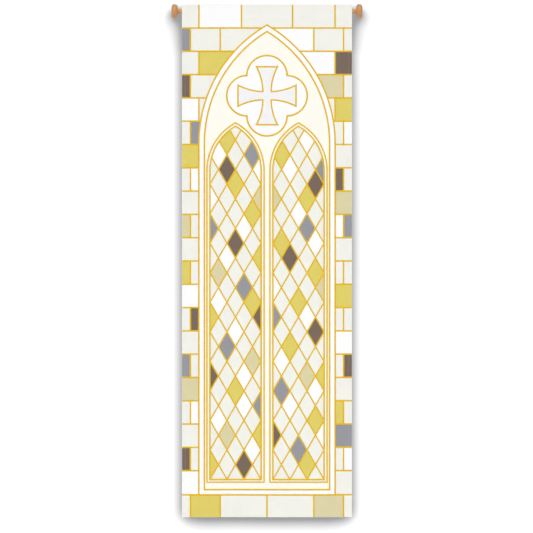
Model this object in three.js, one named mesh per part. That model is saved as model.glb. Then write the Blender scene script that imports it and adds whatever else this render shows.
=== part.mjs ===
// A long church banner hanging from a wooden rod.
// Millimetres, +Z up, the front faces -Y, and the origin is the middle of the rod's axis.
// The ground cloth hangs in front of the rod, which runs through a sleeve sewn to its back.
// Appliqué lies on the ground cloth in three layers: a pointed window, then its two lights
// and a quatrefoil in its head, then a flared cross on the quatrefoil.
// A place on the cloth is given as x, across from the middle, and drop, down from the top edge.

import * as THREE from "three";

// Driving dimensions.
const BANNER_WIDTH = 1000;
const BANNER_DROP = 3012;
const HEADING = 36; // top edge above the rod's axis
const ROD_DIAMETER = 28;
const KNOB_DIAMETER = 86;
const KNOB_THICKNESS = 34.8;
const KNOB_RIM = 15; // radius of the knob's rounded rim, on both sides
const NECK = 26; // bare rod between the cloth and a knob
const SOCKET_DEPTH = 18; // how far the rod goes into a knob

const CLOTH = 1.6; // ground cloth, one layer
const HEMMED = 3.2; // ground cloth where it is turned to the back
const SIDE_HEM = 22;
const TOP_HEM = 22;
const BOTTOM_HEM = 50;
const HEM_STEP = 1.5; // width over which a turned hem runs out
const APPLIQUE = 1.0;
const GAP = 0.3;

// The sleeve on the back: its cloth, the heights above the rod's axis of its upper and lower
// sewn margins, the turn round the rod at which it falls away, how far it keeps that line
// before it swings in, how gently it meets the lower margin, and its set-back at the ends.
const SLEEVE = {
  cloth: 1.2,
  upper: { top: 32, foot: 21 },
  lower: { top: -44, foot: -58 },
  leave: -0.15,
  hang: 20,
  ease: { depth: 4, height: 14 },
  setBack: 25.5,
};

// The pointed window, its two lights and the quatrefoil. A light or a window is a pair of
// uprights under a pointed arch whose two arcs have a radius of twice the half-width.
const WINDOW = { middle: 0, halfWidth: 400, springing: 813, foot: 2880 };
const LIGHT = { offset: 185, halfWidth: 150, springing: 975, foot: 2790 };
const QUATREFOIL = { centreDrop: 535, lobe: 118 };
const CROSS = { arm: 170, waist: 24, flare: 61 };

// The cloth is flat down to FLAT_DROP and falls in slow upright waves below it.
const FLAT_DROP = 780;
const FULL_DROP = 2600;
const WAVES = [
  { height: 2.6, length: 640, phase: 0.7, drift: 0.0008 },
  { height: 1.1, length: 410, phase: 2.1, drift: -0.0011 },
];
const EDGE_CURL = 3.0; // how far the side edges lean back at the foot

const HALF = BANNER_WIDTH / 2;
const ROD_RADIUS = ROD_DIAMETER / 2;
const ROUND_SIDES = 32;

// Front face of the ground cloth at the rod. The turned hems just clear the rod.
const FRONT = -(ROD_RADIUS + GAP + HEMMED);

const colours = {
  ground: 0xf3f3ec,
  ivory: 0xfffdf4,
  pale: 0xfbfbf9,
  white: 0xfefefe,
  cross: 0xf5f5f5,
  wood: 0xc49466,
};

function cloth(colour) {
  return new THREE.MeshStandardMaterial({ color: colour, roughness: 0.85, metalness: 0 });
}

function wood() {
  return new THREE.MeshStandardMaterial({ color: colours.wood, roughness: 0.5, metalness: 0 });
}

// Depth of the hanging waves at a place on the cloth, positive to the back.
function wave(x, drop) {
  const growth = THREE.MathUtils.smoothstep(drop, FLAT_DROP, FULL_DROP);
  const ripple = WAVES.reduce(
    (sum, w) => sum + w.height * Math.sin((2 * Math.PI * x) / w.length + w.phase + w.drift * drop),
    0,
  );
  return growth * (ripple + EDGE_CURL * (x / HALF) ** 6);
}

// Thickness of the ground cloth, with its four turned hems.
function groundThickness(x, drop) {
  const inside = Math.min(
    (HALF - SIDE_HEM - Math.abs(x)) / HEM_STEP,
    (drop - TOP_HEM) / HEM_STEP,
    (BANNER_DROP - BOTTOM_HEM - drop) / HEM_STEP,
  );
  return THREE.MathUtils.lerp(HEMMED, CLOTH, THREE.MathUtils.clamp(inside, 0, 1));
}

// A closed thin sheet. place(i, j) gives the [x, drop] of a grid point, and front and back
// give the depth of the two faces there. Triangles that collapse at a point are left out.
function sheetGeometry(columns, rows, place, front, back) {
  const corner = (depth) => (i, j) => {
    const [x, drop] = place(i, j);
    return [x, depth(x, drop), HEADING - drop];
  };
  const near = corner(front);
  const far = corner(back);
  const positions = [];
  const same = (p, q) => Math.hypot(p[0] - q[0], p[1] - q[1], p[2] - q[2]) < 1e-4;
  const triangle = (a, b, c) => {
    if (!same(a, b) && !same(b, c) && !same(c, a)) positions.push(...a, ...b, ...c);
  };
  const quad = (a, b, c, d) => {
    triangle(a, b, c);
    triangle(a, c, d);
  };
  for (let j = 0; j < rows; j++) {
    for (let i = 0; i < columns; i++) {
      quad(near(i, j), near(i, j + 1), near(i + 1, j + 1), near(i + 1, j));
      quad(far(i, j), far(i + 1, j), far(i + 1, j + 1), far(i, j + 1));
    }
  }
  const rim = [];
  for (let j = 0; j < rows; j++) rim.push([0, j]);
  for (let i = 0; i < columns; i++) rim.push([i, rows]);
  for (let j = rows; j > 0; j--) rim.push([columns, j]);
  for (let i = columns; i > 0; i--) rim.push([i, 0]);
  rim.forEach((p, k) => {
    const q = rim[(k + 1) % rim.length];
    quad(near(...q), near(...p), far(...p), far(...q));
  });
  return new THREE.BufferGeometry().setAttribute(
    "position",
    new THREE.Float32BufferAttribute(positions, 3),
  );
}

// Evenly spaced values from first to last.
function steps(first, last, count) {
  return Array.from({ length: count + 1 }, (_, k) => first + ((last - first) * k) / count);
}

// The half-width of a pointed window at a drop. Above the springing each side is an arc
// about a centre that lies one half-width past the middle on the other side.
function pointedHalfWidth({ halfWidth, springing }, drop) {
  const rise = Math.max(springing - drop, 0);
  return Math.max(Math.sqrt(Math.max(4 * halfWidth ** 2 - rise ** 2, 0)) - halfWidth, 0);
}

// Drops of the rows of a pointed window: even turns round the arc, then even steps down.
function pointedRows({ halfWidth, springing, foot }, arcSteps, sideSteps) {
  const arc = steps(Math.PI / 3, 0, arcSteps).map(
    (turn) => springing - 2 * halfWidth * Math.sin(turn),
  );
  return [...arc, ...steps(springing, foot, sideSteps).slice(1)];
}

// A pointed window of cloth lying on the ground cloth, with `layers` of appliqué under it.
function pointedSheet(outline, middle, layers, columns, arcSteps, sideSteps) {
  const rows = pointedRows(outline, arcSteps, sideSteps);
  const place = (i, j) => {
    const halfWidth = j === 0 ? 0 : pointedHalfWidth(outline, rows[j]);
    return [middle + halfWidth * (-1 + (2 * i) / columns), rows[j]];
  };
  const back = (x, drop) => FRONT + wave(x, drop) - GAP - layers * (APPLIQUE + GAP);
  const front = (x, drop) => back(x, drop) - APPLIQUE;
  return sheetGeometry(columns, rows.length - 1, place, front, back);
}

// A flat piece cut from cloth, drawn in the plane of the banner and laid on `layers` others.
// The shape's x is across, and its y is up from the rod's axis.
function flatSheet(shape, layers, curveSegments) {
  const geometry = new THREE.ExtrudeGeometry(shape, {
    depth: APPLIQUE,
    bevelEnabled: false,
    curveSegments,
  });
  geometry.rotateX(Math.PI / 2);
  return geometry.translate(0, FRONT - GAP - layers * (APPLIQUE + GAP), 0);
}

function bannerCloth() {
  const inner = HALF - SIDE_HEM - HEM_STEP;
  const columns = [-HALF, -HALF + SIDE_HEM, ...steps(-inner, inner, 24), HALF - SIDE_HEM, HALF];
  const rows = [
    0,
    TOP_HEM,
    ...steps(TOP_HEM + HEM_STEP, FLAT_DROP, 3),
    ...steps(FLAT_DROP, FULL_DROP, 10).slice(1),
    BANNER_DROP - BOTTOM_HEM - HEM_STEP,
    BANNER_DROP - BOTTOM_HEM,
    BANNER_DROP,
  ];
  const front = (x, drop) => FRONT + wave(x, drop);
  const back = (x, drop) => front(x, drop) + groundThickness(x, drop);
  const place = (i, j) => [columns[i], rows[j]];
  return sheetGeometry(columns.length - 1, rows.length - 1, place, front, back);
}

// The quatrefoil's outline: four half circles whose ends meet at the corners of a square.
function quatrefoilShape() {
  const { centreDrop, lobe } = QUATREFOIL;
  const centreHeight = HEADING - centreDrop;
  const shape = new THREE.Shape();
  for (let quarter = 0; quarter < 4; quarter++) {
    const turn = (quarter * Math.PI) / 2;
    const x = lobe * Math.cos(turn);
    const y = centreHeight + lobe * Math.sin(turn);
    shape.absarc(x, y, lobe, turn - Math.PI / 2, turn + Math.PI / 2, false);
  }
  return shape;
}

// The flared cross: four equal arms, narrow at the middle and wide at the square ends.
function crossShape() {
  const { arm, waist, flare } = CROSS;
  const centreHeight = HEADING - QUATREFOIL.centreDrop;
  const side = [
    [waist, -waist],
    [(waist + arm) / 2, -waist],
    [arm, -flare],
    [arm, flare],
    [(waist + arm) / 2, waist],
    [waist, waist],
  ];
  const shape = new THREE.Shape();
  for (let quarter = 0; quarter < 4; quarter++) {
    const [start, bendOut, end, farEnd, bendIn, finish] = side.map(([x, y]) => {
      const turned = new THREE.Vector2(x, y).rotateAround(
        new THREE.Vector2(),
        (quarter * Math.PI) / 2,
      );
      return [turned.x, turned.y + centreHeight];
    });
    if (quarter === 0) shape.moveTo(...start);
    shape.quadraticCurveTo(...bendOut, ...end);
    shape.lineTo(...farEnd);
    shape.quadraticCurveTo(...bendIn, ...finish);
  }
  return shape;
}

// Centre line of the sleeve's cloth in the plane across the rod, as [y, z] points: its upper
// margin lies on the top hem, then it wraps the rod and falls to its lower margin.
function sleeveLine() {
  const { cloth: thickness, upper, lower, leave, hang, ease } = SLEEVE;
  const upperDepth = FRONT + HEMMED + GAP + thickness / 2;
  const lowerDepth = FRONT + CLOTH + GAP + thickness / 2;
  const radius = ROD_RADIUS + GAP + thickness / 2;
  const tangent =
    Math.atan2(upper.foot, upperDepth) - Math.acos(radius / Math.hypot(upperDepth, upper.foot));
  const wrap = steps(tangent, leave, 10).map((turn) => [
    radius * Math.cos(turn),
    radius * Math.sin(turn),
  ]);
  const start = new THREE.Vector2(...wrap[wrap.length - 1]);
  const end = new THREE.Vector2(lowerDepth, lower.top);
  const fall = new THREE.CubicBezierCurve(
    start,
    new THREE.Vector2(start.x + hang * Math.sin(leave), start.y - hang * Math.cos(leave)),
    new THREE.Vector2(end.x + ease.depth, end.y + ease.height),
    end,
  );
  return [
    [upperDepth, upper.top],
    [upperDepth, upper.foot],
    ...wrap,
    ...fall.getPoints(8).slice(1).map((p) => [p.x, p.y]),
    [lowerDepth, lower.foot],
  ];
}

// The sleeve: its centre line thickened to both sides and carried along the rod.
function rodSleeve() {
  const line = sleeveLine().map(([y, z]) => new THREE.Vector2(y, z));
  const offset = (sign) =>
    line.map((point, k) => {
      const before = line[Math.max(k - 1, 0)];
      const after = line[Math.min(k + 1, line.length - 1)];
      const into = point.clone().sub(before).normalize();
      const out = after.clone().sub(point).normalize();
      const along = into.add(out).normalize();
      const normal = new THREE.Vector2(-along.y, along.x);
      return point.clone().addScaledVector(normal, (sign * SLEEVE.cloth) / 2);
    });
  const outline = [...offset(1), ...offset(-1).reverse()];
  const length = BANNER_WIDTH - 2 * SLEEVE.setBack;
  const geometry = new THREE.ExtrudeGeometry(new THREE.Shape(outline), {
    depth: length,
    bevelEnabled: false,
  });
  // The drawing's x and y become the part's y and z, and its depth runs along x.
  const turn = new THREE.Matrix4().makeBasis(
    new THREE.Vector3(0, 1, 0),
    new THREE.Vector3(0, 0, 1),
    new THREE.Vector3(1, 0, 0),
  );
  return geometry.applyMatrix4(turn).translate(-length / 2, 0, 0);
}

function rod() {
  const length = BANNER_WIDTH + 2 * (NECK + SOCKET_DEPTH - GAP);
  return new THREE.CylinderGeometry(ROD_RADIUS, ROD_RADIUS, length, ROUND_SIDES).rotateZ(
    Math.PI / 2,
  );
}

// A turned knob: a thick disc with a broadly rounded rim and a blind socket for the rod. The
// profile runs from the socket's foot round the rim to the outer face, along +Y.
function knob() {
  const socket = ROD_RADIUS + GAP;
  const bend = (first, middle) =>
    steps(first, first + Math.PI / 2, 6).map(
      (turn) =>
        new THREE.Vector2(
          KNOB_DIAMETER / 2 - KNOB_RIM + KNOB_RIM * Math.cos(turn),
          middle + KNOB_RIM * Math.sin(turn),
        ),
    );
  const profile = [
    new THREE.Vector2(0, SOCKET_DEPTH),
    new THREE.Vector2(socket, SOCKET_DEPTH),
    new THREE.Vector2(socket, 0),
    ...bend(-Math.PI / 2, KNOB_RIM),
    ...bend(0, KNOB_THICKNESS - KNOB_RIM),
    new THREE.Vector2(0, KNOB_THICKNESS),
  ];
  return new THREE.LatheGeometry(profile, ROUND_SIDES);
}

const banner = new THREE.Group();

function add(name, geometry, material) {
  const mesh = new THREE.Mesh(geometry, material);
  mesh.name = name;
  banner.add(mesh);
  return mesh;
}

add("banner_cloth", bannerCloth(), cloth(colours.ground));
add("rod_sleeve", rodSleeve(), cloth(colours.ground));
add("rod", rod(), wood());

for (const [name, side] of [
  ["knob_left", -1],
  ["knob_right", 1],
]) {
  const mesh = add(name, knob(), wood());
  mesh.position.x = side * (HALF + NECK);
  mesh.rotation.z = (-side * Math.PI) / 2;
}

add("window", pointedSheet(WINDOW, WINDOW.middle, 0, 20, 12, 10), cloth(colours.ivory));
add("light_left", pointedSheet(LIGHT, -LIGHT.offset, 1, 8, 8, 9), cloth(colours.pale));
add("light_right", pointedSheet(LIGHT, LIGHT.offset, 1, 8, 8, 9), cloth(colours.pale));
add("quatrefoil", flatSheet(quatrefoilShape(), 1, 14), cloth(colours.white));
add("cross", flatSheet(crossShape(), 2, 6), cloth(colours.cross));

export default banner;
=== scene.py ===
"""Dresses a long church banner that hangs from a wooden rod.

The cloth is a patchwork: wall blocks on the ground cloth, and a pointed window of two lights
with diamond quarries, a quatrefoil and a flared cross, all outlined in gold satin stitch.
A place on the banner is (x, drop): metres across from the middle and down from the top edge.
A lift is a height above the front face of the ground cloth, towards the viewer.
"""

from __future__ import annotations

import logging
import math
from collections.abc import Callable, Sequence
from dataclasses import dataclass, field
from enum import Enum

import bpy
import numpy as np
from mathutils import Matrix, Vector

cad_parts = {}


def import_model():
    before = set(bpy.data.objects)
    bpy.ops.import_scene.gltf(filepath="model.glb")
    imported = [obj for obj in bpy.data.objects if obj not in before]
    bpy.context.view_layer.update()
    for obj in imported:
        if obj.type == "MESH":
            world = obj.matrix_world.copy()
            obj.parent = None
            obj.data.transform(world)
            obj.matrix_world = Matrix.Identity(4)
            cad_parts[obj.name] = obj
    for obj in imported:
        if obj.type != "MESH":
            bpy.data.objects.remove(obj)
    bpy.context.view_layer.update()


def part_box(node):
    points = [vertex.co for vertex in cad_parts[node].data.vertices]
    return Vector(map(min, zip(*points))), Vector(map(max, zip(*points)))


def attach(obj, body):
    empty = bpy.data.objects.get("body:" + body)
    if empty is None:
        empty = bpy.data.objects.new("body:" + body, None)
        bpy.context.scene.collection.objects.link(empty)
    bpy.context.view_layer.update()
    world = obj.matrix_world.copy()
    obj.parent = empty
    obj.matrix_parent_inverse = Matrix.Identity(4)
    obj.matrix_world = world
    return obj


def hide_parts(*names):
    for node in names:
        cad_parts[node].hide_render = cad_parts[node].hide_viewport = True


LOG = logging.getLogger("banner")

MM = 0.001
ROOT = "root"
# How many points an arch's arc has, and the upright below it.
ARC_STEPS = 30
# The most that there is from place to place on the cloth, and along a stitched line.
CLOTH_STEP = 10 * MM
STITCH_STEP = 10 * MM
# Corners nearer than this to the one before are the same corner.
CORNER_GAP = 0.1 * MM
# Places of a cut that agree to this much are the same place.
WELD_GAP = 0.01 * MM
# A path has a corner where the cosine of its turn is below this.
CORNER_COSINE = 0.93
# The gap between layers that lie on each other.
LAYER_GAP = 0.3 * MM
# The wall blocks' crowned fronts, which the front machine stitches lie on.
BLOCK_FACE = 0.72 * MM
# How bright the studio makes a white face, which every colour is divided by.
WHITE_LEVEL = 1.12

# The lift of a face at given places across and drops.
Lift = Callable[[np.ndarray, np.ndarray], np.ndarray]


def linear(display: int) -> tuple[float, float, float]:
    """Turns a display colour into linear light.

    Args:
        display: the colour as 0xRRGGBB.

    Returns:
        Red, green and blue in linear light, from 0 to 1.
    """
    shares = [((display >> shift) & 255) / 255 for shift in (16, 8, 0)]
    return tuple(c / 12.92 if c <= 0.04045 else ((c + 0.055) / 1.055) ** 2.4 for c in shares)


def tone(display: int, factor: float) -> list[float]:
    """Linear light of a display colour times a factor, under the studio's light."""
    return [min(c * factor / WHITE_LEVEL, 1.0) for c in linear(display)]


def smooth_step(value: np.ndarray, low: float, high: float) -> np.ndarray:
    """Rises from 0 at low to 1 at high as 3t^2 - 2t^3."""
    t = np.clip((value - low) / (high - low), 0, 1)
    return t * t * (3 - 2 * t)


class Nodes:
    """Adds and joins the shader nodes of one material."""

    def __init__(self, name: str) -> None:
        """Starts a material with a Principled shader.

        Args:
            name: the material's name.
        """
        self.material = bpy.data.materials.new(name)
        self.material.use_nodes = True
        self.tree = self.material.node_tree
        self.shader = self.tree.nodes["Principled BSDF"]

    def add(self, kind: str, **settings: object) -> bpy.types.Node:
        """Adds a node.

        Args:
            kind: the node's type, without the word ShaderNode.
            settings: properties to set on it.

        Returns:
            The new node.
        """
        node = self.tree.nodes.new("ShaderNode" + kind)
        for key, value in settings.items():
            setattr(node, key, value)
        return node

    def feed(self, socket: bpy.types.NodeSocket, value: object) -> None:
        """Links a socket to value if it is an output, and sets it otherwise.

        Args:
            socket: the input socket.
            value: an output socket, or a plain value.
        """
        if isinstance(value, bpy.types.NodeSocket):
            self.tree.links.new(value, socket)
        else:
            socket.default_value = value

    def math(self, operation: str, *values: object) -> bpy.types.NodeSocket:
        """Joins values by one Math node.

        Args:
            operation: the Math node's operation.
            values: sockets or numbers.

        Returns:
            The result's socket.
        """
        node = self.add("Math", operation=operation)
        for socket, value in zip(node.inputs, values):
            self.feed(socket, value)
        return node.outputs[0]

    def noise(
        self, vector: bpy.types.NodeSocket, scale: tuple[float, float, float], detail: float
    ) -> bpy.types.NodeSocket:
        """Noise on stretched coordinates.

        Args:
            vector: the coordinates' socket.
            scale: cycles a metre along x, y and z.
            detail: octaves.

        Returns:
            The noise factor's socket, near 0.5 on average.
        """
        mapping = self.add("Mapping", vector_type="POINT")
        self.feed(mapping.inputs["Vector"], vector)
        mapping.inputs["Scale"].default_value = scale
        node = self.add("TexNoise")
        self.feed(node.inputs["Vector"], mapping.outputs[0])
        node.inputs["Scale"].default_value = 1.0
        node.inputs["Detail"].default_value = detail
        return node.outputs[0]

    def blend(
        self, factor: bpy.types.NodeSocket, low: Sequence[float], high: Sequence[float]
    ) -> bpy.types.NodeSocket:
        """Mixes two colours by a factor that varies over the surface.

        Args:
            factor: the factor's socket.
            low: the colour at 0.
            high: the colour at 1.

        Returns:
            The colour's socket.
        """
        node = self.add("Mix", data_type="RGBA", clamp_factor=True)
        self.feed(node.inputs[0], factor)
        node.inputs[6].default_value = (*low, 1.0)
        node.inputs[7].default_value = (*high, 1.0)
        return node.outputs[2]

    def relief(self, height: bpy.types.NodeSocket, strength: float, depth: float) -> None:
        """Gives the shader a bump.

        Args:
            height: the height's socket.
            strength: how much of the bump shows, from 0 to 1.
            depth: how many metres a height of 1 is.
        """
        bump = self.add("Bump")
        bump.inputs["Strength"].default_value = strength
        bump.inputs["Distance"].default_value = depth
        self.feed(bump.inputs["Height"], height)
        self.feed(self.shader.inputs["Normal"], bump.outputs[0])

    def level(self, **levels: float) -> None:
        """Sets the shader's own sockets, named with _ for each space."""
        for name, level in levels.items():
            self.shader.inputs[name.replace("_", " ")].default_value = level


@dataclass(frozen=True)
class ClothFinish:
    """A plain-woven cloth with slubs: a checker of threads over and under each other."""

    name: str
    display: int
    contrast: float = 0.05
    thread: float = 0.9 * MM
    slub_length: float = 14.0
    slub_width: float = 620.0
    mottle: float = 9.0
    bump: float = 0.35
    bump_depth: float = 0.25 * MM

    def material(self) -> bpy.types.Material:
        """Builds the cloth's material. Slubs and mottle are in cycles a metre.

        Returns:
            The material. Its weave is sin(pi x / thread) times sin(pi z / thread), and its
            tone follows slubs along both threads and a broad mottle.
        """
        nodes = Nodes(self.name)
        place = nodes.add("TexCoord").outputs["Object"]
        split = nodes.add("SeparateXYZ")
        nodes.feed(split.inputs[0], place)
        turns = math.pi / self.thread
        warp = nodes.math("SINE", nodes.math("MULTIPLY", split.outputs["X"], turns))
        weft = nodes.math("SINE", nodes.math("MULTIPLY", split.outputs["Z"], turns))
        weave = nodes.math("MULTIPLY", warp, weft)
        long, wide = self.slub_length, self.slub_width
        weft_slub = nodes.noise(place, (long, long, wide), 2.0)
        warp_slub = nodes.noise(place, (wide, long, long), 2.0)
        mottle = nodes.noise(place, (self.mottle,) * 3, 3.0)
        slub = nodes.math("MULTIPLY", nodes.math("ADD", weft_slub, warp_slub), 0.5)
        mixed = nodes.math("MULTIPLY_ADD", slub, 0.7, nodes.math("MULTIPLY", mottle, 0.3))
        spread = nodes.math("MULTIPLY_ADD", mixed, 2.2, -0.6)
        low, high = tone(self.display, 1 - self.contrast), tone(self.display, 1 + self.contrast)
        nodes.feed(nodes.shader.inputs["Base Color"], nodes.blend(spread, low, high))
        height = nodes.math("MULTIPLY_ADD", weave, 0.5, nodes.math("MULTIPLY", slub, 1.4))
        nodes.relief(height, self.bump, self.bump_depth)
        nodes.level(
            Roughness=0.82, Specular_IOR_Level=0.25, Sheen_Weight=0.06, Sheen_Roughness=0.5
        )
        return nodes.material


@dataclass(frozen=True)
class ThreadFinish:
    """Satin-stitched thread that lies side by side across a line."""

    name: str
    display: int
    pitch: float = 1.1 * MM
    sheen: float = 0.0
    bump: float = 0.8
    bump_depth: float = 0.3 * MM
    # darkest and lightest bound the colour, which holds painted shade between the threads and
    # painted highlight on their crests.
    darkest: float = 0.78
    lightest: float = 1.18

    def material(self) -> bpy.types.Material:
        """Builds the thread's material.

        Returns:
            The material. Threads are |sin(pi run / pitch)| along the piece's attribute run,
            the distance along the stitched line in metres. Its colour is painted shade and
            highlight: darker in the grooves between threads and lighter on their crests, over
            a random tone along the line.
        """
        nodes = Nodes(self.name)
        run = nodes.add("Attribute", attribute_name="run").outputs["Fac"]
        wave = nodes.math("SINE", nodes.math("MULTIPLY", run, math.pi / self.pitch))
        threads = nodes.math("ABSOLUTE", wave)
        along = nodes.add("CombineXYZ")
        nodes.feed(along.inputs["X"], run)
        uneven = nodes.noise(along.outputs[0], (900.0, 1.0, 1.0), 1.0)
        slow = nodes.noise(along.outputs[0], (35.0, 1.0, 1.0), 1.0)
        shade = nodes.math("MULTIPLY_ADD", uneven, 0.5, nodes.math("MULTIPLY", slow, 0.25))
        # Painted shade and highlight: the colour follows the threads, darker between them and
        # lighter on their crests, plus a random tone.
        spread = nodes.math("MULTIPLY_ADD", threads, 0.5, nodes.math("SUBTRACT", shade, 0.125))
        low, high = tone(self.display, self.darkest), tone(self.display, self.lightest)
        nodes.feed(nodes.shader.inputs["Base Color"], nodes.blend(spread, low, high))
        height = nodes.math("MULTIPLY_ADD", uneven, 0.4, threads)
        nodes.relief(height, self.bump, self.bump_depth)
        nodes.level(Roughness=0.45, Specular_IOR_Level=0.12, Sheen_Weight=self.sheen)
        return nodes.material


@dataclass(frozen=True)
class WoodFinish:
    """Light brown lacquered wood whose grain runs along one axis."""

    name: str
    display: int
    bands: tuple[float, float, float]
    pore_share: float = 6.5
    contrast: float = 0.16
    bump: float = 0.25
    bump_depth: float = 0.15 * MM

    def material(self) -> bpy.types.Material:
        """Builds the wood's material. Its bands are in cycles a metre along x, y and z.

        Returns:
            The material, with broad bands and fine pores drawn out along the grain.
        """
        nodes = Nodes(self.name)
        place = nodes.add("TexCoord").outputs["Object"]
        bands = nodes.noise(place, self.bands, 3.0)
        pores = nodes.noise(place, tuple(self.pore_share * s for s in self.bands), 2.0)
        mixed = nodes.math("MULTIPLY_ADD", bands, 0.7, nodes.math("MULTIPLY", pores, 0.3))
        spread = nodes.math("MULTIPLY_ADD", mixed, 2.4, -0.7)
        darkening = [1 - self.contrast * share for share in (1.0, 1.4, 1.8)]
        low = [tone(self.display, share)[k] for k, share in enumerate(darkening)]
        high = tone(self.display, 1 + self.contrast * 0.6)
        nodes.feed(nodes.shader.inputs["Base Color"], nodes.blend(spread, low, high))
        nodes.relief(pores, self.bump, self.bump_depth)
        nodes.level(Roughness=0.45, Specular_IOR_Level=0.35, Coat_Weight=0.08, Coat_Roughness=0.3)
        return nodes.material


class Finish(Enum):
    """The finishes of the banner. A value is (material slot, finish)."""

    GROUND = ("ground", ClothFinish("ground_cloth", 0xF3F3EB))
    IVORY = ("ivory", ClothFinish("ivory_cloth", 0xFFFDF2, contrast=0.03))
    PALE = ("pale", ClothFinish("pale_cloth", 0xFBFBF9, contrast=0.03))
    WHITE = ("white", ClothFinish("white_cloth", 0xFEFEFE, contrast=0.02))
    CROSS = ("cross", ClothFinish("cross_cloth", 0xF5F5F5, contrast=0.03))
    KHAKI = ("khaki", ClothFinish("khaki_cloth", 0xE1D068))
    TAN = ("tan", ClothFinish("tan_cloth", 0xDDD3A8))
    GREY = ("grey", ClothFinish("grey_cloth", 0x97989E, contrast=0.07))
    BROWN = ("brown", ClothFinish("brown_cloth", 0x79675B, contrast=0.09))
    GOLD = ("gold_thread", ThreadFinish("gold_thread", 0xE8BD00))
    SEWING = ("white", ThreadFinish("sewing_thread", 0xF6F5EE, sheen=0.05, bump=0.4))
    BOBBIN = ("gold_thread", ThreadFinish("bobbin_thread", 0xEBDDB0, bump=0.5))
    # The rod's wood is a lighter copy of the knobs' wood: painted light that offsets the shade on
    # the rod between the knobs and the cloth.
    ROD = ("wood", WoodFinish("rod_wood", 0xD39C66, (9.0, 160.0, 160.0)))
    KNOB = ("wood", WoodFinish("knob_wood", 0xCD9863, (150.0, 110.0, 22.0)))


CLOTHS = {
    ".": Finish.GROUND,
    "w": Finish.WHITE,
    "k": Finish.KHAKI,
    "t": Finish.TAN,
    "g": Finish.GREY,
    "b": Finish.BROWN,
}
# Charts have a letter for each block or quarry of a row from left to right, top row first.
WALL_CHART = (
    ".w... g..w.. .k.wb b...t. w...k .g...w k.... .w..b. ....t t...wg ..... "
    "k..... w...k .b.... ....w g....b t.... .w..k. ....g b....w w.... .k..t."
).split()
LEFT_CHART = (
    "... .k.. w.g .b.w .k. w..t ..k g.w. .b. .w.k t.. ..g. "
    "w.k k..b .w. .g.. ..t b.w. .k. ..wg w.. .t.k ..w k.b. ..."
).split()
RIGHT_CHART = (
    "... ..w. k.. .w.g ..b t.k. .w. ..g. k.w .b.. ..k w..t "
    ".k. g.w. ..b .k.. w.. ..tk g.w .w.. ..k b..w .g. ..k. ..."
).split()


class Layer(Enum):
    """The layers of applique over the ground cloth. A value is the lifts of (back, front)."""

    WINDOW = (0.3 * MM, 1.3 * MM)
    LIGHT = (1.6 * MM, 2.6 * MM)
    CROSS = (2.9 * MM, 3.9 * MM)

    @property
    def back(self) -> float:
        """Lift of the layer's back face."""
        return self.value[0]

    @property
    def front(self) -> float:
        """Lift of the layer's front face."""
        return self.value[1]


def signed_area(x: np.ndarray, drop: np.ndarray) -> np.ndarray:
    """Areas of outlines: half the sum of x drop' - x' drop, with ' for the corner ahead.

    Args:
        x: the corners' places across, along the last axis.
        drop: their drops.

    Returns:
        The areas, above 0 in the turning sense of rising x to rising drop.
    """
    return (x * np.roll(drop, -1, axis=-1) - np.roll(x, -1, axis=-1) * drop).sum(axis=-1) / 2


def distinct(corners: np.ndarray) -> np.ndarray:
    """The corners of an outline without those that lie on the one before."""
    return corners[np.linalg.norm(corners - np.roll(corners, 1, axis=0), axis=1) > CORNER_GAP]


@dataclass
class Cut:
    """A flat cut of cloth: places on the banner, and blocks of faces with the same corners."""

    places: np.ndarray
    faces: list[np.ndarray]

    def welded(self) -> Cut:
        """Merges places that meet.

        Returns:
            The same cut with each place once.
        """
        keys = np.round(self.places / WELD_GAP).astype(np.int64)
        _, first, where = np.unique(keys, axis=0, return_index=True, return_inverse=True)
        where = where.ravel()
        return Cut(self.places[first], [where[block] for block in self.faces])

    def area(self) -> float:
        """The cut's area in square metres."""
        return float(sum(np.abs(self.areas(block)).sum() for block in self.faces))

    def areas(self, block: np.ndarray) -> np.ndarray:
        """Signed area of each face of a block."""
        return signed_area(self.places[block, 0], self.places[block, 1])

    def reversed(self) -> Cut:
        """The cut with its faces the other way round."""
        return Cut(self.places, [block[:, ::-1] for block in self.faces])


def grid_faces(rows: int, columns: int, around: bool = False) -> np.ndarray:
    """Lists the quads of a grid of points.

    Args:
        rows: rows of points.
        columns: points in a row.
        around: whether each row closes on itself.

    Returns:
        Quads as an n x 4 array.
    """
    across = columns if around else columns - 1
    i, j = np.meshgrid(np.arange(rows - 1), np.arange(across), indexing="ij")
    here, beside = i * columns + j, i * columns + (j + 1) % columns
    quads = [here, here + columns, beside + columns, beside]
    return np.stack(quads, axis=-1).reshape(-1, 4)


def grid_cut(x: np.ndarray, drop: np.ndarray) -> Cut:
    """A cut whose places are a grid.

    Args:
        x: places across, rows by columns.
        drop: drops, rows by columns.

    Returns:
        The cut.
    """
    rows, columns = x.shape
    places = np.stack([x.ravel(), drop.ravel()], axis=1)
    return Cut(places, [grid_faces(rows, columns)])


def joined(cuts: Sequence[Cut]) -> Cut:
    """Puts cuts into one.

    Args:
        cuts: the cuts, with blocks of faces of one size at each index.

    Returns:
        One cut of them all.
    """
    starts = np.cumsum([0] + [len(cut.places) for cut in cuts[:-1]])
    blocks = [
        np.concatenate([cut.faces[k] + start for cut, start in zip(cuts, starts)])
        for k in range(len(cuts[0].faces))
    ]
    return Cut(np.concatenate([cut.places for cut in cuts]), blocks)


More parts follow.
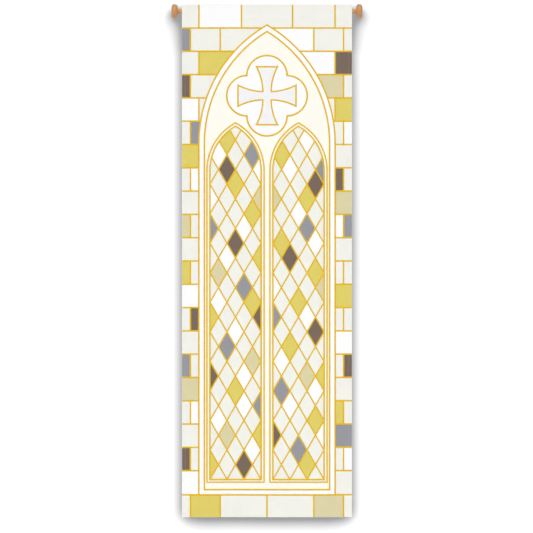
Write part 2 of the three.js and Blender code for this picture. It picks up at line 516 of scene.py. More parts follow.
def fan_cut(outlines: np.ndarray, rings: Sequence[float]) -> tuple[Cut, np.ndarray]:
    """Fills outlines with rings of faces about their centres.

    A point is c + t (b - c), where b runs round the outline and c is the mean of its points.

    Args:
        outlines: pieces x points x 2, each outline star-shaped about its middle.
        rings: shares t of the way to the outline, rising to 1.

    Returns:
        The cut, and t at each of its places.
    """
    pieces, points, _ = outlines.shape
    centres = outlines.mean(axis=1, keepdims=True)
    t = np.array(rings)[None, :, None, None]
    ringed = centres[:, None] + t * (outlines - centres)[:, None]
    places = np.concatenate([centres, ringed.reshape(pieces, -1, 2)], axis=1)
    spans = np.concatenate([[0.0], np.repeat(rings, points)])
    size = 1 + len(rings) * points
    starts = (np.arange(pieces) * size)[:, None, None]
    around = np.arange(points)
    middle = np.stack([np.zeros(points, int), 1 + around, 1 + (around + 1) % points], axis=1)
    bands = 1 + grid_faces(len(rings), points, around=True)
    blocks = [(middle[None] + starts).reshape(-1, 3), (bands[None] + starts).reshape(-1, 4)]
    return Cut(places.reshape(-1, 2), blocks), np.tile(spans, pieces)


def spaced(outline: np.ndarray, count: int) -> np.ndarray:
    """Adds points to a closed outline, evenly along its sides, and keeps its corners.

    Args:
        outline: corners x 2.
        count: how many points there are to be.

    Returns:
        count x 2 points, in the turning sense of rising x to rising drop.
    """
    ahead = np.roll(outline, -1, axis=0)
    lengths = np.linalg.norm(ahead - outline, axis=1)
    room = count - len(outline)
    if room < 0:
        raise ValueError(f"an outline of {len(outline)} corners has more than {count} points")
    share = room * lengths / lengths.sum()
    extra = np.floor(share).astype(int)
    extra[np.argsort(extra - share, kind="stable")[: room - extra.sum()]] += 1
    sides = [
        start + (end - start) * np.linspace(0, 1, more + 2)[:-1, None]
        for start, end, more in zip(outline, ahead, extra)
    ]
    points = np.concatenate(sides)
    return points if signed_area(*points.T) > 0 else points[::-1]


def clipped(outline: np.ndarray, window: np.ndarray) -> np.ndarray:
    """Cuts a convex outline down to the part inside a convex window.

    Args:
        outline: corners x 2.
        window: corners x 2, in the turning sense of rising x to rising drop.

    Returns:
        The corners that are left, maybe none.
    """
    for start, end in zip(window, np.roll(window, -1, axis=0)):
        if len(outline) == 0:
            break
        run = end - start
        side = run[0] * (outline[:, 1] - start[1]) - run[1] * (outline[:, 0] - start[0])
        ahead, side_ahead = np.roll(outline, -1, axis=0), np.roll(side, -1)
        crossing = (side > 0) != (side_ahead > 0)
        share = np.where(crossing, side / np.where(crossing, side - side_ahead, 1), 0)
        meets = outline + share[:, None] * (ahead - outline)
        stacked = np.stack([outline, meets], axis=1).reshape(-1, 2)
        outline = stacked[np.stack([side > 0, crossing], axis=1).ravel()]
    return outline


def headings(path: np.ndarray) -> np.ndarray:
    """Directions of a path's legs, each of length 1."""
    legs = np.diff(path, axis=0)
    return legs / np.linalg.norm(legs, axis=1, keepdims=True)


def sideways(ways: np.ndarray) -> np.ndarray:
    """Directions turned by a quarter, so that they point across."""
    return np.stack([ways[:, 1], -ways[:, 0]], axis=1)


def distances(path: np.ndarray) -> np.ndarray:
    """Distance along a path at each of its points."""
    return np.concatenate([[0], np.cumsum(np.linalg.norm(np.diff(path, axis=0), axis=1))])


def stepped(path: np.ndarray, step: float) -> np.ndarray:
    """Places points evenly between the corners of a path, which all stay.

    Args:
        path: points x 2 of a line on the banner.
        step: the most there may be between points, in metres.

    Returns:
        Points x 2 along it.
    """
    ways = headings(path)
    turning = (ways[:-1] * ways[1:]).sum(axis=1) < CORNER_COSINE
    corners = [0, *(np.flatnonzero(turning) + 1), len(path) - 1]
    parts = []
    for start, end in zip(corners, corners[1:]):
        part = path[start : end + 1]
        run = distances(part)
        stations = np.linspace(0, run[-1], max(math.ceil(run[-1] / step), 1) + 1)[:-1]
        parts.append(np.stack([np.interp(stations, run, part[:, k]) for k in range(2)], axis=1))
    return np.concatenate([*parts, path[-1:]])


def closed_sheet(faces: Sequence[np.ndarray], count: int) -> list[np.ndarray]:
    """Lists the faces of a sheet with a front, a back and a rim.

    An edge that only one face uses is a border, and each border edge gets a quad from the
    front to the back.

    Args:
        faces: blocks of faces of the front.
        count: how many points the front has, which the back's points follow.

    Returns:
        Blocks of faces of the front, the back and the rim.
    """
    edges = np.concatenate(
        [np.stack([block, np.roll(block, -1, axis=1)], axis=-1).reshape(-1, 2) for block in faces]
    )
    forward = edges[:, 0] * count + edges[:, 1]
    backward = edges[:, 1] * count + edges[:, 0]
    rim = edges[~np.isin(forward, backward)]
    wall = np.stack([rim[:, 1], rim[:, 0], rim[:, 0] + count, rim[:, 1] + count], axis=1)
    return [*faces, *(block[:, ::-1] + count for block in faces), wall]


@dataclass
class Work:
    """Gathers closed surfaces that become one piece."""

    name: str
    finish: Finish
    points: list[np.ndarray] = field(default_factory=list)
    faces: list[np.ndarray] = field(default_factory=list)
    runs: list[np.ndarray] = field(default_factory=list)
    size: int = 0

    def add(
        self, points: np.ndarray, faces: list[np.ndarray], run: np.ndarray | None = None
    ) -> None:
        """Adds a closed surface and turns its faces outwards.

        The volume inside is the sum of a . (b x c) / 6 over the triangles, so its sign tells
        which way the faces look.

        Args:
            points: n x 3.
            faces: blocks of faces that index the points.
            run: the distance along the stitched line at each point.
        """
        middle = points.mean(axis=0)
        volume = 0.0
        for block in faces:
            for k in range(1, block.shape[1] - 1):
                a, b, c = (points[block[:, i]] - middle for i in (0, k, k + 1))
                volume += float((a * np.cross(b, c)).sum())
        turned = [block[:, ::-1] if volume < 0 else block for block in faces]
        self.points.append(points)
        self.faces.extend(block + self.size for block in turned)
        self.runs.append(np.zeros(len(points)) if run is None else run)
        self.size += len(points)

    def piece(self, *stands_for: str, crease: float = 38.0) -> bpy.types.Object:
        """Makes the piece, gives it its finish and lets it ride on the banner.

        Args:
            stands_for: the CAD nodes that it replaces.
            crease: the angle in degrees past which an edge stays sharp.

        Returns:
            The piece.
        """
        mesh = bpy.data.meshes.new(self.name)
        points = np.concatenate(self.points)
        mesh.from_pydata(points.tolist(), [], [f for block in self.faces for f in block.tolist()])
        mesh.polygons.foreach_set("use_smooth", np.ones(len(mesh.polygons), bool))
        mesh.set_sharp_from_angle(angle=math.radians(crease))
        if isinstance(self.finish.value[1], ThreadFinish):
            run = mesh.attributes.new("run", "FLOAT", "POINT")
            run.data.foreach_set("value", np.concatenate(self.runs).astype(np.float32))
        slot, finish = self.finish.value
        mesh.materials.append(bpy.data.materials.get(finish.name) or finish.material())
        made = bpy.data.objects.new(self.name, mesh)
        bpy.context.scene.collection.objects.link(made)
        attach(made, ROOT)
        if stands_for:
            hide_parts(*stands_for)
        LOG.info("%s: %d points, %d faces", self.name, len(points), len(mesh.polygons))
        return made


@dataclass(frozen=True)
class Wave:
    """One slow upright wave of the hanging cloth. Drift is in radians a metre of drop."""

    height: float
    length: float
    phase: float
    drift: float


@dataclass(frozen=True)
class SatinStitch:
    """A satin-stitched line's section, and how its width breathes.

    A breath is (share of the width, radians a metre). They fade out near the line's ends. The
    run along a line starts at the sum of its first point's |x| and drop, each times its share
    in start, so no two lines breathe alike.
    """

    width: float
    crest: float
    sides: int = 7
    breaths: tuple[tuple[float, float], ...] = ((0.035, 310.0), (0.030, 97.0))
    fade: float = 20 * MM
    start: tuple[float, float] = (7.3, 3.1)

    def half_width(self, run: np.ndarray, ends: np.ndarray) -> np.ndarray:
        """Half the width, for the run and for how full the breaths are there."""
        breath = sum(share * np.sin(run * rate) for share, rate in self.breaths)
        return self.width / 2 * (1 + ends * breath)


@dataclass(frozen=True)
class MachineStitch:
    """A straight machine stitch: a grain of thread with pointed ends."""

    pitch: float = 3.8 * MM
    share: float = 0.76
    thick: float = 0.28 * MM
    high: float = 0.26 * MM


@dataclass
class Hang:
    """The surface in which the banner hangs, which every layer and stitch follows."""

    half: float
    drop: float
    top: float
    front: float
    flat_drop: float = 0.780
    full_drop: float = 2.600
    waves: tuple[Wave, ...] = (
        Wave(2.6 * MM, 0.640, 0.7, 0.8),
        Wave(1.1 * MM, 0.410, 2.1, -1.1),
    )
    edge_curl: float = 3.0 * MM
    unevenness: float = 0.16 * MM
    ripples: tuple[tuple[float, float, float], ...] = (
        (0.083, 0.210, 1.3),
        (0.117, -0.164, 0.4),
        (0.330, 0.071, 2.2),
    )

    def depth(self, x: np.ndarray, drop: np.ndarray) -> np.ndarray:
        """Depth of the cloth behind the plane of its head.

        The sum of h sin(2 pi x / L + phase + drift drop) over the waves and of curl times
        (x / half)^6, growing from nothing at flat_drop to all of it at full_drop. All over it
        lies unevenness times the mean of sin(2 pi (x / a + drop / b) + phase) for the small
        crossing ripples (a, b, phase).

        Args:
            x: places across.
            drop: drops from the top edge.

        Returns:
            Depths in metres, towards the back.
        """
        growth = smooth_step(drop, self.flat_drop, self.full_drop)
        swell = self.edge_curl * (x / self.half) ** 6
        for w in self.waves:
            swell = swell + w.height * np.sin(2 * np.pi * x / w.length + w.phase + w.drift * drop)
        small = sum(np.sin(2 * np.pi * (x / a + drop / b) + phase) for a, b, phase in self.ripples)
        return growth * swell + self.unevenness * small / len(self.ripples)

    def points(self, x: np.ndarray, drop: np.ndarray, lift: np.ndarray | float) -> np.ndarray:
        """Points on or over the cloth: (x, front + depth - lift, top - drop) on a last axis."""
        return np.stack([x, self.front + self.depth(x, drop) - lift, self.top - drop], axis=-1)

    def cloth(
        self, cut: Cut, front: np.ndarray | float, back: np.ndarray | float
    ) -> tuple[np.ndarray, list[np.ndarray]]:
        """Hangs a cut as a closed sheet with a rim.

        Args:
            cut: the flat cut.
            front: the front face's lift at each place.
            back: the back face's lift at each place.

        Returns:
            The points and the blocks of faces.
        """
        x, drop = cut.places.T
        points = np.concatenate([self.points(x, drop, lift) for lift in (front, back)])
        return points, closed_sheet(cut.faces, len(x))

    def satin(
        self, path: np.ndarray, stitch: SatinStitch, base: Lift
    ) -> tuple[np.ndarray, list[np.ndarray], np.ndarray]:
        """Carries the section of a satin-stitched line along a path.

        The section is half an ellipse: s = w / 2 cos t across the path and h = crest sin t
        above the base, for t from 0 to half a turn, and a flat underside closes it. At a
        corner the section stands on the bisector and is wider by 1 / cos of half the turn, so
        both legs keep their width.

        Args:
            path: points x 2 of the line, whose last is its first if it goes round.
            stitch: the section, whose crest is negative on the back of the cloth.
            base: the underside's lift at given places.

        Returns:
            The points, the blocks of faces and the run along the line at each point.
        """
        path = stepped(path, STITCH_STEP)
        ways = headings(path)
        closed = np.allclose(path[0], path[-1])
        before = np.concatenate([ways[-1:] if closed else ways[:1], ways])
        after = np.concatenate([ways, ways[:1] if closed else ways[-1:]])
        mitre = 1 / np.sqrt((1 + (before * after).sum(axis=1)) / 2)
        along = (before + after) / np.linalg.norm(before + after, axis=1, keepdims=True)
        across = sideways(along) * mitre[:, None]
        run = distances(path)
        ends = np.minimum(np.minimum(run, run[-1] - run) / stitch.fade, 1)
        run = run + stitch.start[0] * abs(path[0, 0]) + stitch.start[1] * path[0, 1]
        t = np.linspace(0, np.pi, stitch.sides)
        s = stitch.half_width(run, ends)[:, None] * np.cos(t)
        x = path[:, :1] + s * across[:, :1]
        drop = path[:, 1:] + s * across[:, 1:]
        lift = base(x, drop) + stitch.crest * np.sin(t)
        stations, section = x.shape
        ring = np.arange(section)
        caps = np.stack([ring[::-1], (stations - 1) * section + ring])
        faces = [grid_faces(stations, section, around=True), caps]
        return self.points(x, drop, lift).reshape(-1, 3), faces, np.repeat(run, section)

    def running(
        self, path: np.ndarray, base: Lift, side: int, stitch: MachineStitch = MachineStitch()
    ) -> tuple[np.ndarray, list[np.ndarray]]:
        """Lays a row of straight machine stitches along a path, half sunk in the cloth.

        Each stitch is a point, two lozenges across the thread and a point: a along, s across
        and h above the face, from one end to the other.

        Args:
            path: points x 2 of the row.
            base: the lift of the cloth's face at given places.
            side: 1 on the front of the cloth and -1 on its back.
            stitch: the size of a stitch.

        Returns:
            The points and the blocks of faces.
        """
        fine = stepped(path, stitch.pitch)
        middle, along = (fine[:-1] + fine[1:]) / 2, headings(fine)
        across = sideways(along)
        half = stitch.share / 2 * stitch.pitch
        a = np.array([-1, -0.6, -0.6, -0.6, -0.6, 0.6, 0.6, 0.6, 0.6, 1]) * half
        s = np.array([0, 1, 0, -1, 0, 1, 0, -1, 0, 0]) * stitch.thick
        h = np.array([-0.3, 0, 1, 0, -1, 0, 1, 0, -1, -0.3]) * stitch.high
        x = middle[:, :1] + a * along[:, :1] + s * across[:, :1]
        drop = middle[:, 1:] + a * along[:, 1:] + s * across[:, 1:]
        points = self.points(x, drop, base(x, drop) + side * h).reshape(-1, 3)
        ring = np.arange(4)
        ahead = (ring + 1) % 4
        near = np.stack([0 * ring, 1 + ring, 1 + ahead], axis=1)
        far = np.stack([0 * ring + 9, 5 + ahead, 5 + ring], axis=1)
        body = np.stack([1 + ring, 5 + ring, 5 + ahead, 1 + ahead], axis=1)
        starts = (np.arange(len(middle)) * len(a))[:, None, None]
        blocks = (np.concatenate([near, far]), body)
        return points, [(block + starts).reshape(-1, block.shape[1]) for block in blocks]


@dataclass(frozen=True)
class PointedArch:
    """Two uprights under a pointed arch whose arcs have a radius of twice the half-width."""

    middle: float
    half: float
    springing: float
    foot: float

    def apex(self) -> float:
        """Drop of the arch's point."""
        return self.springing - math.sqrt((2 * self.half) ** 2 - self.half**2)

    def half_width(self, drop: np.ndarray) -> np.ndarray:
        """Half-width at a drop: sqrt(4 a^2 - rise^2) - a above the springing, and a below."""
        rise = np.maximum(self.springing - drop, 0)
        return np.maximum(np.sqrt(np.maximum(4 * self.half**2 - rise**2, 0)) - self.half, 0)

    def drop_at(self, half_width: float) -> float:
        """Drop at which the arch has a half-width, which is the springing for a or more."""
        reach = min(half_width, self.half) + self.half
        return self.springing - math.sqrt(max(4 * self.half**2 - reach**2, 0))

    def size(self) -> tuple[float, float]:
        """Width and height of the outline."""
        return 2 * self.half, self.foot - self.apex()

    def flank(self, side: int, grow: float = 0.0, foot_grow: float = 0.0) -> np.ndarray:
        """Path up one side, from the foot to the arch's point.

        Args:
            side: -1 for left and 1 for right.
            grow: how far outwards the path lies.
            foot_grow: how far below the foot it starts.

        Returns:
            Points x 2.
        """
        radius = 2 * self.half + grow
        turns = np.linspace(0, math.acos(self.half / radius), ARC_STEPS)
        across, up = radius * np.cos(turns) - self.half, radius * np.sin(turns)
        arc = np.stack([across, self.springing - up], axis=1)
        start = [self.half + grow, self.foot + foot_grow]
        upright = np.linspace(start, arc[0], ARC_STEPS)[:-1]
        path = np.concatenate([upright, arc])
        return path * [side, 1] + [self.middle, 0]

    def loop(self, grow: float = 0.0, foot_grow: float = 0.0) -> np.ndarray:
        """Path right round, which starts and ends at the middle of the foot.

        Args:
            grow: how far outside the flanks it lies.
            foot_grow: how far below the foot.

        Returns:
            Points x 2.
        """
        left, right = (self.flank(side, grow, foot_grow) for side in (-1, 1))
        foot = np.array([[self.middle, self.foot + foot_grow]])
        return np.concatenate([foot, left, right[-2::-1], foot])

    def outline(self) -> np.ndarray:
        """Closed outline in few corners.

        Returns:
            Corners x 2, in the turning sense of rising x to rising drop.
        """
        left = self.flank(-1)[ARC_STEPS - 2 :: 2]
        right = self.flank(1)[ARC_STEPS - 2 :: 2]
        feet = [[self.middle + self.half, self.foot], [self.middle - self.half, self.foot]]
        return distinct(np.concatenate([left, [[self.middle, self.apex()]], right[::-1], feet]))

    def cut(self, blunt: float = 0.4 * MM) -> Cut:
        """Cuts cloth of this outline: x = middle + v half_width(drop), for v from -1 to 1.

        Args:
            blunt: how far below the arch's point the cloth starts.

        Returns:
            The flat cut, in rows.
        """
        tip = self.apex() + blunt
        rows = np.linspace(tip, self.foot, math.ceil((self.foot - tip) / CLOTH_STEP) + 1)
        columns = np.linspace(-1, 1, math.ceil(2 * self.half / CLOTH_STEP) + 1)
        x = self.middle + self.half_width(rows)[:, None] * columns
        return grid_cut(x, np.broadcast_to(rows[:, None], x.shape))


def flat_lift(height: float) -> Lift:
    """A lift that is the same everywhere."""
    return lambda x, drop: np.full(np.shape(x), height)


@dataclass
class GroundCloth:
    """The long panel at the back of it all, with four turned hems and a folded edge.

    The fold's share keeps its two faces a little apart at the very edge.
    """

    hang: Hang
    cloth: float = 1.6 * MM
    hemmed: float = 3.2 * MM
    side_hem: float = 22 * MM
    top_hem: float = 22 * MM
    bottom_hem: float = 50 * MM
    hem_step: float = 1.5 * MM
    seam_inset: float = 3 * MM
    fold_share: float = 0.92

    def thickness(self, x: np.ndarray, drop: np.ndarray) -> np.ndarray:
        """Thickness of the cloth, doubled where a hem is turned to the back.

        Args:
            x: places across.
            drop: drops from the top edge.

        Returns:
            Thicknesses in metres.
        """
        inside = np.minimum.reduce(
            [
                (self.hang.half - self.side_hem - np.abs(x)) / self.hem_step,
                (drop - self.top_hem) / self.hem_step,
                (self.hang.drop - self.bottom_hem - drop) / self.hem_step,
            ]
        )
        return self.hemmed + (self.cloth - self.hemmed) * np.clip(inside, 0, 1)

    def fold(self, x: np.ndarray, drop: np.ndarray) -> np.ndarray:
        """How far a face draws in at the folded edges: a share of r - sqrt(r^2 - (r - e)^2).

        Args:
            x: places across.
            drop: drops from the top edge.

        Returns:
            Distances in metres, for an edge e away and r half the hem's thickness.
        """
        edge = np.minimum.reduce([self.hang.half - np.abs(x), drop, self.hang.drop - drop])
        radius = self.hemmed / 2
        lack = radius - np.clip(edge, 0, radius)
        return self.fold_share * (radius - np.sqrt(radius**2 - lack**2))

    def steps(self, length: float, near_hem: float, far_hem: float) -> np.ndarray:
        """Places along one side of the panel, closer at its folds and hems.

        Args:
            length: the side's length.
            near_hem: the hem's width at the start.
            far_hem: the hem's width at the end.

        Returns:
            Rising places from 0 to length.
        """
        fold = np.array([0, 0.25, 0.6, 1.05, 1.6]) * MM
        seam = np.array([-2.2, -1.2, 0, 0.75, 1.5, 3]) * MM
        ends = [fold, [near_hem / 2], near_hem + seam]
        ends += [length - fold, [length - far_hem / 2], length - far_hem - seam]
        inner = np.arange(near_hem + CLOTH_STEP, length - far_hem - CLOTH_STEP / 2, CLOTH_STEP)
        return np.unique(np.round(np.concatenate([*ends, inner]), 6))

    def back(self, x: np.ndarray, drop: np.ndarray) -> np.ndarray:
        """Lift of the panel's back face."""
        return self.fold(x, drop) - self.thickness(x, drop)

    def build(self) -> bpy.types.Object:
        """Builds the panel.

        Returns:
            The piece.
        """
        across = self.steps(2 * self.hang.half, self.side_hem, self.side_hem) - self.hang.half
        down = self.steps(self.hang.drop, self.top_hem, self.bottom_hem)
        cut = grid_cut(*np.meshgrid(across, down))
        x, drop = cut.places.T
        work = Work("ground_panel", Finish.GROUND)
        work.add(*self.hang.cloth(cut, -self.fold(x, drop), self.back(x, drop)))
        return work.piece("banner_cloth")

    def seams(self) -> list[tuple[np.ndarray, Lift]]:
        """Rows of the hems' stitching.

        Returns:
            Paths on the banner, one for each side, with the lift of the panel's back.
        """
        inset = self.seam_inset
        side = self.hang.half - self.side_hem + inset
        top, foot = self.top_hem - inset, self.hang.drop - self.bottom_hem + inset
        across = side - inset
        sides = [[[x, top + inset], [x, foot - inset]] for x in (-side, side)]
        ends = [[[-across, drop], [across, drop]] for drop in (top, foot)]
        return [(np.array(path), self.back) for path in (*sides, *ends)]


@dataclass
class Sleeve:
    """The strip across the back that holds the rod, sewn down along two margins.

    Margins are heights over the rod's axis. The cloth comes free over the first band of
    distances below the axis and is bound again over the second.
    """

    hang: Hang
    ground: GroundCloth
    rod_radius: float
    half_length: float
    cloth: float = 1.2 * MM
    upper: tuple[float, float] = (32 * MM, 21 * MM)
    lower: tuple[float, float] = (-44 * MM, -58 * MM)
    leave: float = -0.15
    hang_run: float = 20 * MM
    ease: tuple[float, float] = (4 * MM, 14 * MM)
    slack: float = 0.25 * MM
    slack_length: float = 0.13
    free: tuple[float, float] = (16 * MM, 30 * MM)
    bound: tuple[float, float] = (36 * MM, 43 * MM)
    columns: int = 120
    seam_inset: float = 3 * MM

    def line(self) -> np.ndarray:
        """Centre line of the sleeve's cloth in the plane across the rod.

        The upper margin lies on the top hem, an arc about the rod's axis follows, and a cubic
        Bezier curve falls from it to the lower margin.

        Returns:
            Points x 2, as y and z.
        """
        half = self.cloth / 2
        upper_depth = self.hang.front + self.ground.hemmed + LAYER_GAP + half
        lower_depth = self.hang.front + self.ground.cloth + LAYER_GAP + half
        radius = self.rod_radius + LAYER_GAP + half
        foot = self.upper[1]
        tangent = math.atan2(foot, upper_depth) - math.acos(radius / math.hypot(upper_depth, foot))
        turns = np.linspace(tangent, self.leave, 22)
        wrap = radius * np.stack([np.cos(turns), np.sin(turns)], axis=1)
        start, end = wrap[-1], np.array([lower_depth, self.lower[0]])
        out = start + self.hang_run * np.array([math.sin(self.leave), -math.cos(self.leave)])
        into = end + np.array(self.ease)
        t = np.linspace(0, 1, 26)[1:, None]
        fall = (1 - t) ** 3 * start + 3 * (1 - t) ** 2 * t * out
        fall = fall + 3 * (1 - t) * t**2 * into + t**3 * end
        top = np.linspace([upper_depth, self.upper[0]], [upper_depth, foot], 5)
        rise = np.linspace([upper_depth, foot], wrap[0], 6)[1:-1]
        margin = np.linspace(end, [lower_depth, self.lower[1]], 5)[1:]
        return np.concatenate([top, rise, wrap, fall, margin])

    def build(self) -> bpy.types.Object:
        """Builds the sleeve: its centre line, thickened both ways and carried along the rod.

        Where it falls free of the rod its depth breathes as slack sin(2 pi x / length) does.

        Returns:
            The piece.
        """
        line = self.line()
        along = np.gradient(line, axis=0)
        along = along / np.linalg.norm(along, axis=1, keepdims=True)
        x = np.linspace(-self.half_length, self.half_length, self.columns)
        fallen = -line[:, 1:]
        free = smooth_step(fallen, *self.free) * (1 - smooth_step(fallen, *self.bound))
        sway = free * self.slack * np.sin(2 * np.pi * x / self.slack_length + 0.6)
        layers = []
        for side in (-1, 1):
            y_z = line + side * sideways(along) * self.cloth / 2
            face = np.broadcast_arrays(x, y_z[:, :1] + sway, y_z[:, 1:])
            layers.append(np.stack(face, axis=-1).reshape(-1, 3))
        work = Work("sleeve_strip", Finish.GROUND)
        quads = grid_faces(len(line), self.columns)
        work.add(np.concatenate(layers), closed_sheet([quads], len(layers[0])))
        return work.piece("rod_sleeve")

    def length(self) -> float:
        """Length of the strip across the rod, margin to margin."""
        return float(distances(self.line())[-1])

    def seams(self) -> list[tuple[np.ndarray, Lift]]:
        """Rows of stitching along the two margins.

        Returns:
            Paths on the banner, each with the lift of the sleeve's outer face there.
        """
        reach = self.half_length - self.seam_inset
        rows = []
        for margin, panel in ((self.upper, self.ground.hemmed), (self.lower, self.ground.cloth)):
            drop = self.hang.top - sum(margin) / 2
            outer = flat_lift(-panel - LAYER_GAP - self.cloth)
            rows.append((np.array([[-reach, drop], [reach, drop]]), outer))
        return rows


@dataclass
class Patchwork:
    """Coloured patches laid side by side, gathered by their finish.

    The base is the lift of their backs. Each has so many corners, and rings of faces about its
    middle. One whose area is below the sliver's is left out.
    """

    hang: Hang
    name: str
    base: float
    edge: float
    puff: float
    corners: int = 26
    sliver: float = 40 * MM**2
    rings: tuple[float, ...] = (0.5, 0.85, 1.0)
    outlines: dict[Finish, list[np.ndarray]] = field(default_factory=dict)

    def lay(self, finish: Finish, outline: np.ndarray) -> None:
        """Keeps a patch for its finish, unless it is a mere sliver."""
        if abs(signed_area(*outline.T)) >= self.sliver:
            self.outlines.setdefault(finish, []).append(spaced(outline, self.corners))

    def build(self) -> list[bpy.types.Object]:
        """Builds one piece for each finish.

        A patch's front lies at edge + puff (1 - t^3), for t the share of the way from its
        middle to its outline, so it is softly crowned.

        Returns:
            The pieces.
        """
        made = []
        for finish, outlines in self.outlines.items():
            cut, t = fan_cut(np.stack(outlines), self.rings)
            work = Work(f"{self.name}_{finish.name.lower()}", finish)
            work.add(*self.hang.cloth(cut, self.edge + self.puff * (1 - t**3), self.base))
            made.append(work.piece())
        return made


@dataclass(frozen=True)
class GoldLines:
    """Satin lines of one width: their paths, their underside's lift and their crest above it."""

    paths: list[np.ndarray]
    width: float
    base: float
    crest: float


@dataclass
class Wall:
    """Courses of blocks on the ground cloth, left open where the window lies."""

    hang: Hang
    window: PointedArch
    courses: int = 22
    even_joints: tuple[float, ...] = (0.150, 0.400, 0.500)
    odd_joints: tuple[float, ...] = (0.0, 0.275, 0.450, 0.500)
    inset: float = 1.0 * MM
    least_height: float = 1.0 * MM
    least_joint: float = 4.0 * MM

    def bounds(self, course: int) -> tuple[float, float]:
        """Where a course lies. The last one starts at the window's foot.

        Args:
            course: the course from the top.

        Returns:
            The drops of its top and its foot.
        """
        height = self.hang.drop / self.courses
        last = course == self.courses - 1
        return (self.window.foot if last else course * height), (course + 1) * height

    def joints(self, course: int) -> tuple[float, ...]:
        """Distances of a course's upright joints from the middle, up to the edge."""
        return self.odd_joints if course % 2 else self.even_joints

    def finish(self, course: int, block: int, side: int) -> Finish:
        """Cloth of a block, by its course, its number from the middle, and its side or 0."""
        middle = 2 if course % 2 == 0 or side > 0 else 3
        return CLOTHS[WALL_CHART[course][middle + side * block]]

    def block(self, near: float, far: float, top: float, foot: float, side: int) -> np.ndarray:
        """Outline of a block beside the window.

        Its far side is straight, and its near side is straight or follows the window.

        Args:
            near: the near joint's distance from the middle.
            far: the far joint's distance.
            top: the block's upper edge.
            foot: the block's lower edge.
            side: -1 for left and 1 for right.

        Returns:
            Corners x 2, or none if the window covers the block.
        """
        if top < self.window.foot - self.least_height:
            if far <= self.window.half:
                foot = min(foot, self.window.drop_at(far))
            if foot - top < self.least_height:
                return np.zeros((0, 2))
            drops = np.linspace(top, foot, 9)
            inner = np.maximum(near, self.window.half_width(drops))
            if np.allclose(inner, near):
                drops, inner = drops[[0, -1]], inner[[0, -1]]
        else:
            drops, inner = np.array([top, foot]), np.array([near, near])
        near_side = np.stack([inner, drops], axis=1)
        return distinct(np.concatenate([near_side, [[far, foot], [far, top]]])) * [side, 1]

    def middle_block(self, half: float, top: float, foot: float) -> np.ndarray:
        """Outline of a block over the arch's point, notched by the arch.

        Args:
            half: the block's half-width.
            top: its upper edge.
            foot: its lower edge.

        Returns:
            Corners x 2, or none if the arch covers the block.
        """
        if self.window.half_width(np.array(foot)) >= half or top > self.window.apex():
            return np.zeros((0, 2))
        drops = np.linspace(foot, self.window.apex(), 5)
        notch = np.stack([self.window.half_width(drops), drops], axis=1)
        mirrored = notch[-2::-1] * [-1, 1]
        corners = [[-half, top], [half, top], [half, foot]]
        return np.concatenate([corners, notch, mirrored, [[-half, foot]]])

    def drawn_in(self, places: np.ndarray) -> np.ndarray:
        """Moves places that lie nearer to the cloth's edge than the inset away from it.

        Args:
            places: places x 2.

        Returns:
            The places, all at least the inset inside the edge.
        """
        low = np.array([self.inset - self.hang.half, self.inset])
        high = np.array([self.hang.half - self.inset, self.hang.drop - self.inset])
        return np.clip(places, low, high)

    def build(self) -> list[bpy.types.Object]:
        """Builds the blocks.

        Returns:
            The pieces, one for each finish.
        """
        work = Patchwork(self.hang, "wall_blocks", base=0.04 * MM, edge=0.3 * MM, puff=0.35 * MM)
        for course in range(self.courses):
            top, foot = self.bounds(course)
            joints = self.joints(course)
            if joints[0] > 0:
                outline = self.middle_block(joints[0], top, foot)
                work.lay(self.finish(course, 0, 0), self.drawn_in(outline))
            for number, (near, far) in enumerate(zip(joints, joints[1:]), 1):
                for side in (-1, 1):
                    outline = self.block(near, far, top, foot, side)
                    work.lay(self.finish(course, number, side), self.drawn_in(outline))
        return work.build()

    def lines(self) -> list[np.ndarray]:
        """Paths of the gold lines between the blocks.

        Returns:
            The paths, first the courses and then the upright joints.
        """
        edge = self.hang.half
        paths = []
        for course in range(1, self.courses):
            drop = self.bounds(course)[0]
            near = float(self.window.half_width(np.array(drop)))
            if near == 0:
                paths.append(np.array([[-edge, drop], [edge, drop]]))
            else:
                paths += [np.array([[side * near, drop], [side * edge, drop]]) for side in (-1, 1)]
        for course in range(self.courses):
            top, foot = self.bounds(course)
            for joint in self.joints(course)[:-1]:
                beside = joint > self.window.half or course == self.courses - 1
                end = foot if beside else min(foot, self.window.drop_at(joint))
                if end - top < self.least_joint:
                    continue
                for side in (-1, 1) if joint > 0 else (1,):
                    paths.append(np.array([[side * joint, top], [side * joint, end]]))
        return [self.drawn_in(path) for path in paths]

    def gold(self) -> GoldLines:
        """The gold lines between the blocks."""
        return GoldLines(self.lines(), width=10.0 * MM, base=0.05 * MM, crest=1.35 * MM)


